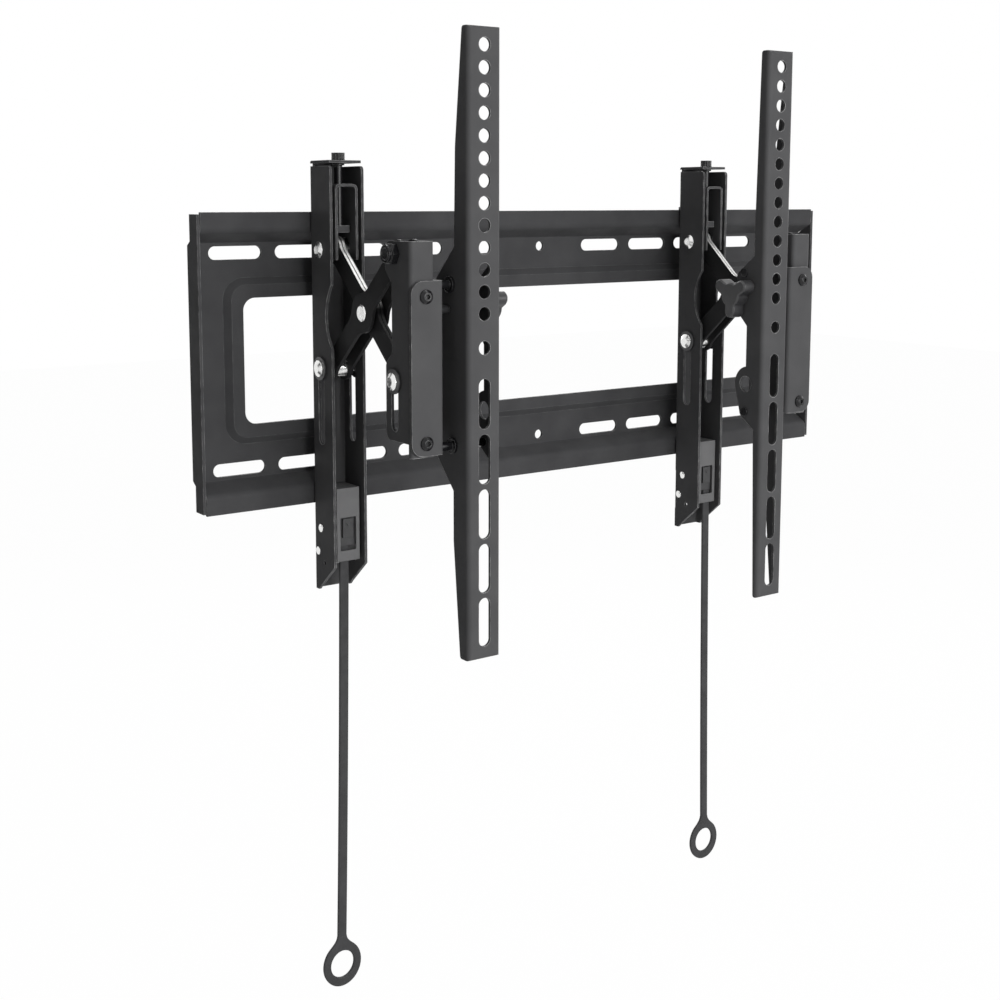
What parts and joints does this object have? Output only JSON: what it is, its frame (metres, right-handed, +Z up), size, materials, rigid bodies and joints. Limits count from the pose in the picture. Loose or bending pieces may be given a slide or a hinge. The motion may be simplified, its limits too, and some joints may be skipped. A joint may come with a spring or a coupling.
{
  "type": "tilting tv wall bracket",
  "caption": "Pressed wall plate with hook rails carrying two sliding scissor units, each with a tilting slotted screen arm, clamp knob, levelling screw and strap-released latch.",
  "frame": {"origin": "centre of the wall plate on the wall plane", "axes": "+X to the right seen from the front, +Y into the wall, +Z up"},
  "size_m": [0.614, 0.16, 0.7058],
  "materials": {
    "plate_coat": "satin black powder coat",
    "powder_coat": "satin black powder coat",
    "zinc": "bright zinc plating",
    "black_steel": "blackened steel",
    "black_plastic": "fine-grained moulded plastic",
    "spring_steel": "drawn wire",
    "strap_rubber": "matt soft rubber"
  },
  "bodies": {
    "wall": {"wall_plate": "plate_coat"},
    "left_hook": {"left_hook_slider": "powder_coat"},
    "left_carriage_body": {"left_carriage": "powder_coat", "left_pivot_rivet": "zinc", "left_pivot_spacers": "zinc", "left_latch_cover": "black_plastic", "left_latch_rivets": "zinc", "left_latch_spring": "spring_steel"},
    "left_screw": {"left_levelling_screw": "black_steel"},
    "left_inner": {"left_inner_leg": "powder_coat", "left_sliding_pin": "zinc", "left_sliding_spacers": "zinc", "left_sliding_washers": "black_plastic"},
    "left_outer": {"left_outer_legs": "powder_coat", "left_centre_rivet": "zinc", "left_roller_pin": "zinc", "left_roller": "zinc", "left_slot_washers": "black_plastic"},
    "left_front": {"left_front_bracket": "powder_coat", "left_front_bolt": "black_steel", "left_lock_nut": "black_steel", "left_bolt_spacer": "zinc", "left_tilt_bracket": "powder_coat", "left_tilt_screws": "black_steel"},
    "left_arm": {"left_tilt_arm": "powder_coat", "left_guide_pins": "zinc"},
    "left_knob": {"left_tilt_knob": "black_plastic"},
    "left_latch": {"left_latch_slider": "black_plastic", "left_pull_strap": "strap_rubber", "left_pull_ring": "strap_rubber"},
    "right_hook": {"right_hook_slider": "powder_coat"},
    "right_carriage_body": {"right_carriage": "powder_coat", "right_pivot_rivet": "zinc", "right_pivot_spacers": "zinc", "right_latch_cover": "black_plastic", "right_latch_rivets": "zinc", "right_latch_spring": "spring_steel"},
    "right_screw": {"right_levelling_screw": "black_steel"},
    "right_inner": {"right_inner_leg": "powder_coat", "right_sliding_pin": "zinc", "right_sliding_spacers": "zinc", "right_sliding_washers": "black_plastic"},
    "right_outer": {"right_outer_legs": "powder_coat", "right_centre_rivet": "zinc", "right_roller_pin": "zinc", "right_roller": "zinc", "right_slot_washers": "black_plastic"},
    "right_front": {"right_front_bracket": "powder_coat", "right_front_bolt": "black_steel", "right_lock_nut": "black_steel", "right_bolt_spacer": "zinc", "right_tilt_bracket": "powder_coat", "right_tilt_screws": "black_steel"},
    "right_arm": {"right_tilt_arm": "powder_coat", "right_guide_pins": "zinc"},
    "right_knob": {"right_tilt_knob": "black_plastic"},
    "right_latch": {"right_latch_slider": "black_plastic", "right_pull_strap": "strap_rubber", "right_pull_ring": "strap_rubber"}
  },
  "joints": [
    {"name": "left_rail_slide", "type": "slide", "parent": "wall", "child": "left_hook", "axis": [1, 0, 0], "range_m": [-0.07, 0.08]},
    {"name": "left_level_slide", "type": "slide", "parent": "left_hook", "child": "left_carriage_body", "axis": [0, 0, 1], "range_m": [-0.002, 0.002]},
    {"name": "left_level_screw_turn", "type": "hinge", "parent": "left_carriage_body", "child": "left_screw", "pos_m": [-0.2059, -0.036, 0.145], "axis": [0, 0, 1], "range_deg": [-720, 720]},
    {"name": "left_fold", "type": "hinge", "parent": "left_carriage_body", "child": "left_inner", "pos_m": [-0.2059, -0.032, 0.08], "axis": [1, 0, 0], "range_deg": [0, 22]},
    {"name": "left_outer_legs_turn", "type": "hinge", "parent": "left_inner", "child": "left_outer", "pos_m": [-0.2059, -0.0795, 0.03725], "axis": [1, 0, 0], "range_deg": [-44, 0]},
    {"name": "left_front_turn", "type": "hinge", "parent": "left_outer", "child": "left_front", "pos_m": [-0.2059, -0.127, 0.08], "axis": [1, 0, 0], "range_deg": [0, 22]},
    {"name": "left_tilt", "type": "hinge", "parent": "left_front", "child": "left_arm", "pos_m": [-0.1649, -0.139, 0.059], "axis": [1, 0, 0], "range_deg": [0, 10]},
    {"name": "left_knob_turn", "type": "hinge", "parent": "left_arm", "child": "left_knob", "pos_m": [-0.1459, -0.135, 0.042], "axis": [1, 0, 0], "range_deg": [-180, 180]},
    {"name": "left_latch_pull", "type": "slide", "parent": "left_carriage_body", "child": "left_latch", "axis": [0, 0, -1], "range_m": [0, 0.008], "stiffness_N_per_m": 300, "springref_m": -0.02, "deforming": ["left_latch_spring"]},
    {"name": "right_rail_slide", "type": "slide", "parent": "wall", "child": "right_hook", "axis": [1, 0, 0], "range_m": [-0.05, 0.09]},
    {"name": "right_level_slide", "type": "slide", "parent": "right_hook", "child": "right_carriage_body", "axis": [0, 0, 1], "range_m": [-0.002, 0.002]},
    {"name": "right_level_screw_turn", "type": "hinge", "parent": "right_carriage_body", "child": "right_screw", "pos_m": [0.1522, -0.036, 0.145], "axis": [0, 0, 1], "range_deg": [-720, 720]},
    {"name": "right_fold", "type": "hinge", "parent": "right_carriage_body", "child": "right_inner", "pos_m": [0.1522, -0.032, 0.08], "axis": [1, 0, 0], "range_deg": [0, 22]},
    {"name": "right_outer_legs_turn", "type": "hinge", "parent": "right_inner", "child": "right_outer", "pos_m": [0.1522, -0.0795, 0.03725], "axis": [1, 0, 0], "range_deg": [-44, 0]},
    {"name": "right_front_turn", "type": "hinge", "parent": "right_outer", "child": "right_front", "pos_m": [0.1522, -0.127, 0.08], "axis": [1, 0, 0], "range_deg": [0, 22]},
    {"name": "right_tilt", "type": "hinge", "parent": "right_front", "child": "right_arm", "pos_m": [0.1112, -0.139, 0.059], "axis": [1, 0, 0], "range_deg": [0, 10]},
    {"name": "right_knob_turn", "type": "hinge", "parent": "right_arm", "child": "right_knob", "pos_m": [0.0922, -0.135, 0.042], "axis": [-1, 0, 0], "range_deg": [-180, 180]},
    {"name": "right_latch_pull", "type": "slide", "parent": "right_carriage_body", "child": "right_latch", "axis": [0, 0, -1], "range_m": [0, 0.008], "stiffness_N_per_m": 300, "springref_m": -0.02, "deforming": ["right_latch_spring"]}
  ],
  "couplings": [
    {"joint": "left_level_screw_turn", "follows": "left_level_slide", "rad_per_m": 6283.2},
    {"joint": "left_outer_legs_turn", "follows": "left_fold", "ratio": -2},
    {"joint": "left_front_turn", "follows": "left_fold", "ratio": 1},
    {"joint": "right_level_screw_turn", "follows": "right_level_slide", "rad_per_m": 6283.2},
    {"joint": "right_outer_legs_turn", "follows": "right_fold", "ratio": -2},
    {"joint": "right_front_turn", "follows": "right_fold", "ratio": 1}
  ]
}
